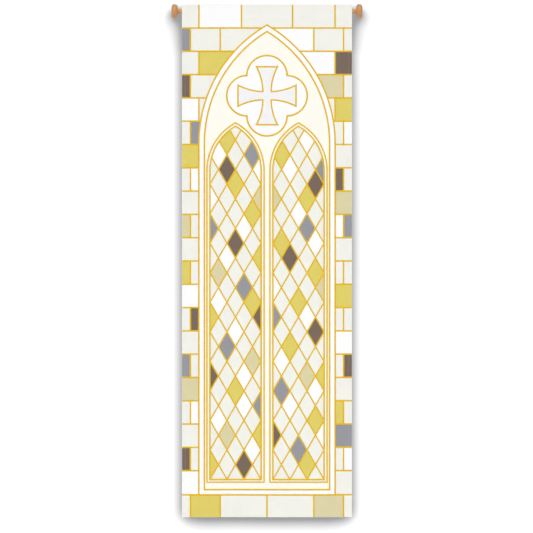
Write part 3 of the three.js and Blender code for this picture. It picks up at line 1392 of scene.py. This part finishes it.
@dataclass
class Light:
    """One pointed light of the window, filled with diamond quarries.

    Every second row of its chart has a half quarry at each end. A quarry reaches wide and tall
    each way from its middle, and the frame line lies frame_grow outside the flanks and the foot.
    """

    hang: Hang
    arch: PointedArch
    chart: list[str]
    wide: float = 50 * MM
    tall: float = 86.75 * MM
    frame_grow: tuple[float, float] = (18 * MM, 16 * MM)
    shortest: float = 0.06

    def finish(self, column: int, row: int) -> Finish:
        """Cloth of a quarry, by its column from the light's middle and its row from the foot."""
        return CLOTHS[self.chart[-1 - row][(column + 2 + row % 2) // 2]]

    def panel(self, name: str, node: str) -> bpy.types.Object:
        """Builds the light's backing cloth.

        Args:
            name: the piece's name.
            node: the CAD node that it stands for.

        Returns:
            The piece.
        """
        work = Work(name, Finish.PALE)
        work.add(*self.hang.cloth(self.arch.cut(), Layer.LIGHT.front, Layer.LIGHT.back))
        return work.piece(node)

    def lay_quarries(self, patches: Patchwork) -> None:
        """Lays the diamonds, each clipped to the light's outline.

        Args:
            patches: where they are gathered.
        """
        outline = self.arch.outline()
        wide, tall = self.wide, self.tall
        widest = round(self.arch.half / wide)
        for row in range(len(self.chart)):
            for column in range(-widest, widest + 1):
                if (row + column) % 2:
                    continue
                x = self.arch.middle + column * wide
                drop = self.arch.foot - row * tall
                diamond = [[x - wide, drop], [x, drop - tall], [x + wide, drop], [x, drop + tall]]
                patches.lay(self.finish(column, row), clipped(np.array(diamond), outline))

    def lattice(self) -> list[np.ndarray]:
        """Paths of the crossing lines between the quarries.

        With u = (x - middle) / wide and w = (foot - drop) / tall, the lines are u + w and
        u - w = 1, 3, 5 and so on, both ways, each cut off where it leaves the outline. Lines
        shorter than the shortest, as a share of a quarry's side, are left out.

        Returns:
            The paths.
        """
        outline = self.arch.outline()
        runs = np.roll(outline, -1, axis=0) - outline
        height = self.arch.foot - self.arch.apex()
        reach = math.ceil(height / self.tall + self.arch.half / self.wide) + 1
        paths = []
        for slope in (-1, 1):
            way = np.array([self.wide, slope * self.tall])
            facing = runs[:, 0] * way[1] - runs[:, 1] * way[0]
            for number in range(-reach - (reach + 1) % 2, reach + 1, 2):
                origin = np.array([self.arch.middle + number * self.wide, self.arch.foot])
                apart = origin - outline
                offset = runs[:, 0] * apart[:, 1] - runs[:, 1] * apart[:, 0]
                entering, leaving = facing > 1e-12, facing < -1e-12
                first = (-offset[entering] / facing[entering]).max()
                last = (-offset[leaving] / facing[leaving]).min()
                if last - first > self.shortest:
                    paths.append(np.array([origin + first * way, origin + last * way]))
        return paths

    def lattice_gold(self) -> GoldLines:
        """The crossing gold lines between the quarries."""
        return GoldLines(self.lattice(), width=9.2 * MM, base=Layer.LIGHT.front, crest=1.4 * MM)

    def edge_gold(self) -> GoldLines:
        """The gold line over the light's own edge."""
        path = self.arch.loop()
        return GoldLines([path], width=10.5 * MM, base=Layer.WINDOW.front, crest=3.1 * MM)

    def frame_gold(self) -> GoldLines:
        """The gold line that frames the light on the window."""
        path = self.arch.loop(*self.frame_grow)
        return GoldLines([path], width=9.0 * MM, base=1.25 * MM, crest=1.5 * MM)


@dataclass
class Window:
    """The ivory pointed window with its white border strip."""

    hang: Hang
    arch: PointedArch
    strip: float = 32 * MM
    strip_foot: float = 30 * MM
    strip_back: float = 1.34 * MM
    strip_front: float = 1.75 * MM
    strip_steps: int = 5
    upright_steps: int = 207
    arc_steps: int = 84
    foot_steps: int = 81

    def build(self) -> bpy.types.Object:
        """Builds the ivory panel.

        Returns:
            The piece.
        """
        work = Work("window_panel", Finish.IVORY)
        work.add(*self.hang.cloth(self.arch.cut(), Layer.WINDOW.front, Layer.WINDOW.back))
        return work.piece("window")

    def border(self) -> bpy.types.Object:
        """Builds the white strip that follows the window's edge.

        Across the strip a point is outer + u (inner - outer), for matching points of the
        window's outline and of the same outline drawn in.

        Returns:
            The piece.
        """
        u = np.linspace(0, 1, self.strip_steps)[:, None]
        cuts = []
        for side in (-1, 1):
            outer = self.even(self.arch.flank(side))
            inner = self.even(self.arch.flank(side, -self.strip, -self.strip_foot))
            band = outer[:, None] + u * (inner - outer)[:, None]
            cuts.append(grid_cut(band[..., 0], band[..., 1]))
        inner_half = self.arch.half - self.strip
        half = self.arch.half + (inner_half - self.arch.half) * u
        x = half * np.linspace(-1, 1, self.foot_steps)
        drop = np.broadcast_to(self.arch.foot - self.strip_foot * u, x.shape)
        cuts.append(grid_cut(x, drop))
        alike = [cut if cut.areas(cut.faces[0]).sum() > 0 else cut.reversed() for cut in cuts]
        work = Work("window_border", Finish.WHITE)
        work.add(*self.hang.cloth(joined(alike).welded(), self.strip_front, self.strip_back))
        return work.piece()

    def even(self, path: np.ndarray) -> np.ndarray:
        """Spaces a flank's points evenly, in steps as fine as the cloth's.

        Args:
            path: the flank's points x 2.

        Returns:
            Points x 2 along its upright and its arc.
        """
        upright = np.linspace(path[0], path[ARC_STEPS - 1], self.upright_steps)[:-1]
        arc = path[ARC_STEPS - 1 :]
        fine = np.linspace(0, len(arc) - 1, self.arc_steps)
        arc = np.stack([np.interp(fine, np.arange(len(arc)), arc[:, k]) for k in range(2)], axis=1)
        return np.concatenate([upright, arc])

    def gold(self) -> list[GoldLines]:
        """The gold lines over the window's edge and over the strip's inner edge.

        Returns:
            One group of lines for each.
        """
        inner = self.arch.loop(-self.strip, -self.strip_foot)
        return [
            GoldLines([self.arch.loop()], width=11.0 * MM, base=0.0, crest=2.9 * MM),
            GoldLines([inner], width=10.0 * MM, base=Layer.WINDOW.front, crest=1.7 * MM),
        ]


@dataclass
class WindowHead:
    """The quatrefoil in the window's head and the flared cross on it."""

    hang: Hang
    centre: float = 0.535
    lobe: float = 0.118
    arm: float = 0.170
    waist: float = 0.024
    flare: float = 0.061
    quatrefoil_swell: float = 0.35 * MM
    cross_swell: float = 0.9 * MM

    def lobe_arc(self, quarter: int, steps: int = 40) -> np.ndarray:
        """Half circle of one lobe, about a point one radius out from the centre.

        Args:
            quarter: which lobe, in quarter turns.
            steps: how many points.

        Returns:
            Points x 2.
        """
        turn = quarter * math.pi / 2
        spread = np.linspace(-math.pi / 2, math.pi / 2, steps) + turn
        x = self.lobe * (math.cos(turn) + np.cos(spread))
        drop = self.centre + self.lobe * (math.sin(turn) + np.sin(spread))
        return np.stack([x, drop], axis=1)

    def lobe_loop(self) -> np.ndarray:
        """Path round all four lobes, whose last point is its first."""
        arcs = np.concatenate([self.lobe_arc(quarter)[:-1] for quarter in range(4)])
        return np.concatenate([arcs, arcs[:1]])

    def quatrefoil(self) -> tuple[bpy.types.Object, float]:
        """Builds the white quatrefoil, a fan that swells softly towards its middle.

        Returns:
            The piece and the cut's area.
        """
        outline = self.lobe_loop()[:-1]
        rings = (*np.linspace(0.08, 0.96, 12), 1.0)
        cut, t = fan_cut(outline[None], rings)
        front = Layer.LIGHT.front + self.quatrefoil_swell * (1 - t**4)
        work = Work("quatrefoil_panel", Finish.WHITE)
        work.add(*self.hang.cloth(cut, front, Layer.LIGHT.back))
        return work.piece("quatrefoil"), cut.area()

    def arm_curve(self, steps: int = 24) -> np.ndarray:
        """Upper edge of one arm: a quadratic Bezier curve from the waist to the flare.

        Args:
            steps: how many points.

        Returns:
            Points x 2, as the distance out and the half-width there.
        """
        t = np.linspace(0, 1, steps)[:, None]
        start = np.array([self.waist, self.waist])
        bend = np.array([(self.waist + self.arm) / 2, self.waist])
        end = np.array([self.arm, self.flare])
        return (1 - t) ** 2 * start + 2 * (1 - t) * t * bend + t**2 * end

    def turned(
        self, out: np.ndarray, across: np.ndarray, quarter: int
    ) -> tuple[np.ndarray, np.ndarray]:
        """Turns places on an arm by quarter turns about the cross's centre.

        Args:
            out: distances out along the arm.
            across: distances across it.
            quarter: quarter turns.

        Returns:
            The x and drop of each place.
        """
        turn = quarter * math.pi / 2
        c, s = round(math.cos(turn)), round(math.sin(turn))
        return c * out - s * across, self.centre + s * out + c * across

    def cross(self) -> tuple[bpy.types.Object, float]:
        """Builds the cross: four arms whose grids meet a square grid in the middle.

        On an arm, a point is (x(t), v h(t)) for v from -1 to 1 across. The front swells as
        (1 - v^4) does.

        Returns:
            The piece and the cut's area.
        """
        v = np.linspace(-1, 1, 13)
        curve = self.arm_curve()
        cuts = []
        for quarter in range(4):
            out, across = np.broadcast_arrays(curve[:, :1], curve[:, 1:] * v)
            cuts.append(grid_cut(*self.turned(out, across, quarter)))
        x, drop = np.meshgrid(self.waist * v, self.centre + self.waist * v)
        cut = joined([*cuts, grid_cut(x, drop).reversed()]).welded()
        across, out = np.sort(np.abs(cut.places - [0, self.centre]), axis=1).T
        width = np.interp(out, curve[:, 0], curve[:, 1])
        swell = (1 - np.clip(across / width, 0, 1) ** 4) * (1 - (out / self.arm) ** 12)
        work = Work("cross_panel", Finish.CROSS)
        front = Layer.CROSS.front + self.cross_swell * swell
        work.add(*self.hang.cloth(cut, front, Layer.CROSS.back))
        return work.piece("cross"), cut.area()

    def cross_loop(self) -> np.ndarray:
        """Path round the cross: out along one edge of each arm, over its end and back in.

        Returns:
            Points x 2, whose last is its first.
        """
        curve = self.arm_curve()
        out = np.concatenate([curve[:, 0], curve[::-1, 0]])
        across = np.concatenate([-curve[:, 1], curve[::-1, 1]])
        arms = [np.stack(self.turned(out, across, quarter), axis=1)[:-1] for quarter in range(4)]
        path = np.concatenate([*arms, arms[0][:1]])
        halfway = (path[0] + path[1]) / 2
        return np.concatenate([halfway[None], path[1:], halfway[None]])

    def gold(self) -> list[GoldLines]:
        """The gold lines over the edges of the quatrefoil and of the cross.

        Returns:
            One group of lines for each.
        """
        lobes, cross = [self.lobe_loop()], [self.cross_loop()]
        return [
            GoldLines(lobes, width=10.5 * MM, base=Layer.WINDOW.front, crest=2.8 * MM),
            GoldLines(cross, width=10.2 * MM, base=2.8 * MM, crest=2.5 * MM),
        ]


@dataclass
class GoldWork:
    """The gold satin lines on the front and their bobbin thread on the back."""

    hang: Hang
    ground: GroundCloth
    thread: SatinStitch = SatinStitch(width=3.4 * MM, crest=-0.3 * MM)
    sunk: float = 0.05 * MM
    crease: float = 60.0
    back_paths: list[np.ndarray] = field(default_factory=list)

    def sew(self, name: str, *groups: GoldLines) -> bpy.types.Object:
        """Sews groups of lines as one piece.

        Args:
            name: the piece's name.
            groups: the lines.

        Returns:
            The piece.
        """
        work = Work(name, Finish.GOLD)
        for group in groups:
            stitch, base = SatinStitch(group.width, group.crest), flat_lift(group.base)
            for path in group.paths:
                work.add(*self.hang.satin(path, stitch, base))
                self.back_paths.append(path)
        return work.piece(crease=self.crease)

    def underside(self, x: np.ndarray, drop: np.ndarray) -> np.ndarray:
        """Lift just inside the ground cloth's back face, where bobbin thread starts."""
        return self.ground.back(x, drop) + self.sunk

    def bobbin(self) -> bpy.types.Object:
        """Builds the thin lines of bobbin thread on the back of the ground cloth.

        Returns:
            The piece.
        """
        work = Work("bobbin_lines", Finish.BOBBIN)
        for path in self.back_paths:
            work.add(*self.hang.satin(path, self.thread, self.underside))
        return work.piece(crease=self.crease)


@dataclass
class Turning:
    """A turned wooden part: a profile of (along the rod, radius) carried round the rod's axis."""

    name: str
    finish: Finish
    node: str
    profile: np.ndarray
    start: float
    way: int = 1
    sides: int = 96

    def build(self) -> bpy.types.Object:
        """Builds it: (start + way a, r cos f, r sin f) for the profile's a and r and f round.

        The profile starts and ends on the axis, where one point closes it.

        Returns:
            The piece.
        """
        angle = np.linspace(0, 2 * np.pi, self.sides, endpoint=False)
        a, r = self.profile[1:-1, :1], self.profile[1:-1, 1:]
        x = self.start + self.way * a + 0 * angle
        rings = np.stack([x, r * np.cos(angle), r * np.sin(angle)], axis=-1).reshape(-1, 3)
        ends = self.start + self.way * self.profile[[0, -1], 0]
        poles = np.array([[end, 0, 0] for end in ends])
        rows = len(self.profile) - 2
        pole = rows * self.sides
        ring = np.arange(self.sides)
        ahead = (ring + 1) % self.sides
        near = np.stack([0 * ring + pole, ring, ahead], axis=1)
        final = pole - self.sides
        far = np.stack([0 * ring + pole + 1, final + ahead, final + ring], axis=1)
        tips = np.concatenate([near, far])
        work = Work(self.name, self.finish)
        work.add(np.concatenate([rings, poles]), [grid_faces(rows, self.sides, around=True), tips])
        return work.piece(self.node)


@dataclass
class Woodwork:
    """The rod and its two knobs."""

    rod_radius: float
    rod_half: float
    knob_radius: float
    knob_inner: float
    knob_outer: float
    knob_rim: float = 15 * MM
    socket_depth: float = 18 * MM
    socket_ease: float = 0.8 * MM
    chamfer: float = 1.0 * MM
    crown: float = 0.5 * MM

    def rod(self) -> bpy.types.Object:
        """Builds the rod, a cylinder with slightly eased ends.

        Returns:
            The piece.
        """
        length, radius, ease = 2 * self.rod_half, self.rod_radius, self.chamfer
        body = [(a, radius) for a in np.linspace(ease, length - ease, 60)]
        near, far = ([(end, 0), (end, radius - ease)] for end in (0, length))
        profile = np.array([*near, *body, *far[::-1]])
        return Turning("rod_dowel", Finish.ROD, "rod", profile, -self.rod_half).build()

    def knob_profile(self) -> np.ndarray:
        """Profile of a knob, from the socket's foot round the rim to the outer face.

        The rim has a quarter circle on each side, and the outer face is crowned by a little
        less than the knob's box allows: a = thickness - crown (r / flat)^2.

        Returns:
            Points x 2, as the distance out along the rod and the radius.
        """
        thick, rim, crown = self.knob_outer - self.knob_inner, self.knob_rim, self.crown
        socket = self.rod_radius + LAYER_GAP
        flat = self.knob_radius - rim
        bore = [(self.socket_depth, r) for r in (0, socket)]
        bore += [(a, socket) for a in (self.socket_depth / 2, self.socket_ease)]
        inner = [(0.0, r) for r in np.linspace(socket + self.socket_ease, flat, 6)[:-1]]
        turns = np.linspace(0, np.pi / 2, 19)
        near = [(rim - rim * math.cos(t), flat + rim * math.sin(t)) for t in turns]
        far = [(thick - rim + (rim - crown) * math.cos(t), flat + rim * math.sin(t)) for t in turns]
        face = [(thick - crown * (r / flat) ** 2, r) for r in np.linspace(flat, 0.5 * MM, 10)[1:]]
        return np.array([*bore, *inner, *near, *far[::-1], *face, (thick, 0)])

    def knob(self, name: str, node: str, side: int) -> bpy.types.Object:
        """Builds one knob in place of a CAD node, at side -1 for left or 1 for right."""
        profile = self.knob_profile()
        return Turning(name, Finish.KNOB, node, profile, side * self.knob_inner, side).build()


@dataclass
class Studio:
    """Camera, light, a pale floor and a glowing white backdrop with the banner's soft shadow
    painted on it.
    """

    view_middle: tuple[float, float] = (-0.0029, -1.5026)
    view_width: float = 3.1325
    lens: float = 135.0
    sensor: float = 36.0
    clip: tuple[float, float] = (0.1, 200.0)
    wall_gap: float = 5 * MM
    floor_gap: float = 0.30
    key_from: tuple[float, float] = (-8.0, 40.0)
    key_spread: float = 45.0
    key_strength: float = 1.85
    rear_from: tuple[float, float] = (165.0, 42.0)
    rear_spread: float = 50.0
    rear_strength: float = 1.2
    ambient: float = 0.45
    floor_albedo: float = 0.88
    shadow_tilt: float = 38.0
    shadow_reach: float = 0.22
    shadow_depth: float = 2.5
    shadow_floor: float = 0.35
    shadow_samples: int = 32
    backdrop_level: float = 1.37

    def camera(self, plane: float) -> None:
        """Sets up the camera, square on to the banner.

        Args:
            plane: the y of the plane whose width fills the view.
        """
        data = bpy.data.cameras.new("view")
        data.lens, data.sensor_width = self.lens, self.sensor
        distance = self.view_width * self.lens / self.sensor
        data.clip_start, data.clip_end = self.clip
        camera = bpy.data.objects.new("view", data)
        camera.location = (self.view_middle[0], plane - distance, self.view_middle[1])
        camera.rotation_euler = (math.pi / 2, 0, 0)
        bpy.context.scene.collection.objects.link(camera)
        bpy.context.scene.camera = camera

    def sun(self, name: str, place: tuple[float, float], spread: float, strength: float) -> None:
        """Adds a broad soft light.

        Args:
            name: the light's name.
            place: degrees round from the front towards the right, and above the horizon.
            spread: the light's angle in degrees.
            strength: its strength.
        """
        data = bpy.data.lights.new(name, "SUN")
        data.energy, data.angle = strength, math.radians(spread)
        light = bpy.data.objects.new(name, data)
        a, h = (math.radians(angle) for angle in place)
        towards = Vector((math.sin(a) * math.cos(h), -math.cos(a) * math.cos(h), math.sin(h)))
        light.rotation_euler = towards.to_track_quat("Z", "Y").to_euler()
        bpy.context.scene.collection.objects.link(light)

    def world(self) -> None:
        """Sets a white world whose light is softer than what the camera sees."""
        world = bpy.data.worlds.new("studio")
        world.use_nodes = True
        tree = world.node_tree
        background = tree.nodes["Background"]
        background.inputs["Color"].default_value = (1, 1, 1, 1)
        background.inputs["Strength"].default_value = self.ambient
        seen = tree.nodes.new("ShaderNodeBackground")
        seen.inputs["Color"].default_value = (1, 1, 1, 1)
        ray = tree.nodes.new("ShaderNodeLightPath")
        mix = tree.nodes.new("ShaderNodeMixShader")
        tree.links.new(ray.outputs["Is Camera Ray"], mix.inputs[0])
        tree.links.new(background.outputs[0], mix.inputs[1])
        tree.links.new(seen.outputs[0], mix.inputs[2])
        tree.links.new(mix.outputs[0], tree.nodes["World Output"].inputs[0])
        bpy.context.scene.world = world

    def sheet(self, name: str, corners: Sequence[tuple[float, float, float]]) -> Nodes:
        """Adds a flat stage sheet.

        Args:
            name: the sheet's name.
            corners: its corners, anticlockwise as seen from its visible side.

        Returns:
            The nodes of its material.
        """
        mesh = bpy.data.meshes.new(name)
        mesh.from_pydata(list(corners), [], [tuple(range(len(corners)))])
        nodes = Nodes(name)
        mesh.materials.append(nodes.material)
        made = bpy.data.objects.new(name, mesh)
        bpy.context.scene.collection.objects.link(made)
        return nodes

    def floor(self, level: float, reach: float = 30.0) -> None:
        """Lays the pale floor.

        Args:
            level: its z.
            reach: how far it goes each way.
        """
        square = ((-1, -1), (1, -1), (1, 1), (-1, 1))
        corners = [(reach * x, reach * y, level) for x, y in square]
        nodes = self.sheet("floor", corners)
        nodes.shader.inputs["Base Color"].default_value = (*[self.floor_albedo] * 3, 1)
        nodes.level(Roughness=0.9, Specular_IOR_Level=0.1)

    def backdrop(self, level: float, depth: float, reach: float = 12.0) -> None:
        """Hangs the white backdrop, which shows the banner's soft shadow to the front only.

        Its glow is a power of the share that the banner leaves open of a sky that is tilted
        upwards, found by an ambient occlusion node and not by the lamps, so the painted
        shadow is deepest below the banner and fades out round it. It never falls below
        shadow_floor.

        Args:
            level: the z of its foot.
            depth: its y.
            reach: how far it goes each way.
        """
        square = ((-reach, level), (reach, level), (reach, reach), (-reach, reach))
        corners = [(x, depth, z) for x, z in square]
        nodes = self.sheet("backdrop", corners)
        tilt = math.radians(self.shadow_tilt)
        towards = nodes.add("CombineXYZ")
        towards.inputs["Y"].default_value = -math.cos(tilt)
        towards.inputs["Z"].default_value = math.sin(tilt)
        # Painted shadow: an ambient occlusion node measures how much of a tilted sky the banner
        # hides, and the backdrop's glow follows it.
        open_sky = nodes.add("AmbientOcclusion", samples=self.shadow_samples)
        open_sky.inputs["Distance"].default_value = self.shadow_reach
        nodes.feed(open_sky.inputs["Normal"], towards.outputs[0])
        glow = nodes.add("Emission")
        share = nodes.math("POWER", open_sky.outputs["AO"], self.shadow_depth)
        painted_shadow_glow = nodes.math("MULTIPLY", share, self.backdrop_level)
        nodes.feed(glow.inputs["Strength"], nodes.math("MAXIMUM", painted_shadow_glow, self.shadow_floor))
        mix = nodes.add("MixShader")
        nodes.feed(mix.inputs[0], nodes.add("NewGeometry").outputs["Backfacing"])
        nodes.feed(mix.inputs[1], glow.outputs[0])
        nodes.feed(mix.inputs[2], nodes.add("BsdfTransparent").outputs[0])
        nodes.feed(nodes.tree.nodes["Material Output"].inputs[0], mix.outputs[0])
        made = bpy.data.objects["backdrop"]
        for ray in ("diffuse", "glossy", "shadow", "transmission"):
            setattr(made, f"visible_{ray}", False)

    def build(self, lowest: float, rear: float, plane: float) -> None:
        """Builds the stage, the lights and the camera.

        Args:
            lowest: the banner's lowest z.
            rear: the rod's rearmost y.
            plane: the y of the banner's front.
        """
        self.floor(lowest - self.floor_gap)
        self.backdrop(lowest - self.floor_gap, rear + self.wall_gap)
        self.sun("key", self.key_from, self.key_spread, self.key_strength)
        self.sun("rear", self.rear_from, self.rear_spread, self.rear_strength)
        self.world()
        self.camera(plane)
        bpy.context.scene.view_settings.view_transform = "Standard"


def main() -> None:
    """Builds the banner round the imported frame, piece by piece."""
    logging.basicConfig(level=logging.INFO, format="%(name)s %(message)s")
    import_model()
    cloth_low, cloth_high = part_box("banner_cloth")
    rod_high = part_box("rod")[1]
    knob_low, knob_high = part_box("knob_right")
    hang = Hang(
        half=cloth_high.x,
        drop=cloth_high.z - cloth_low.z,
        top=cloth_high.z,
        front=-(rod_high.z + LAYER_GAP + GroundCloth.hemmed),
    )
    Studio().build(cloth_low.z, knob_high.y, hang.front)

    ground = GroundCloth(hang)
    panel = ground.build()
    sleeve = Sleeve(hang, ground, rod_high.z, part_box("rod_sleeve")[1].x)
    strip = sleeve.build()

    window = Window(hang, PointedArch(middle=0.0, half=0.400, springing=0.813, foot=2.880))
    window_panel = window.build()
    border = window.border()
    wall = Wall(hang, window.arch)
    blocks = wall.build()

    lights, light_panels = [], []
    diamonds = Patchwork(hang, "quarries", base=2.64 * MM, edge=2.9 * MM, puff=0.4 * MM)
    for side, word, chart in ((-1, "left", LEFT_CHART), (1, "right", RIGHT_CHART)):
        arch = PointedArch(middle=side * 0.185, half=0.150, springing=0.975, foot=2.790)
        light = Light(hang, arch, chart)
        lights.append(light)
        light_panels.append(light.panel(f"{word}_light_panel", f"light_{word}"))
        light.lay_quarries(diamonds)
    quarries = diamonds.build()

    head = WindowHead(hang)
    quatrefoil, quatrefoil_area = head.quatrefoil()
    cross, cross_area = head.cross()

    gold = GoldWork(hang, ground)
    wall_gold = gold.sew("wall_gold_lines", wall.gold())
    frames = (light.frame_gold() for light in lights)
    window_gold = gold.sew("window_gold_lines", *window.gold(), *frames)
    lattices = (light.lattice_gold() for light in lights)
    edges = (light.edge_gold() for light in lights)
    light_gold = gold.sew("light_gold_lines", *lattices, *edges)
    head_gold = gold.sew("head_gold_lines", *head.gold())
    bobbin = gold.bobbin()

    sewing = Work("seam_stitches", Finish.SEWING)
    for path, back in (*ground.seams(), *sleeve.seams()):
        sewing.add(*hang.running(path, flat_lift(BLOCK_FACE), 1))
        sewing.add(*hang.running(path, back, -1))
    seams = sewing.piece()

    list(blocks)
    sleeve.length()
    window.arch.size()
    window.arch.cut().area()
    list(quarries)
    for light, piece in zip(lights, light_panels):
        light.arch.size()
        light.arch.cut().area()

    woodwork = Woodwork(
        rod_radius=rod_high.z,
        rod_half=rod_high.x,
        knob_radius=knob_high.z,
        knob_inner=knob_low.x,
        knob_outer=knob_high.x,
    )
    woodwork.rod()
    woodwork.knob("left_knob", "knob_left", -1)
    woodwork.knob("right_knob", "knob_right", 1)


if __name__ == "__main__":
    main()
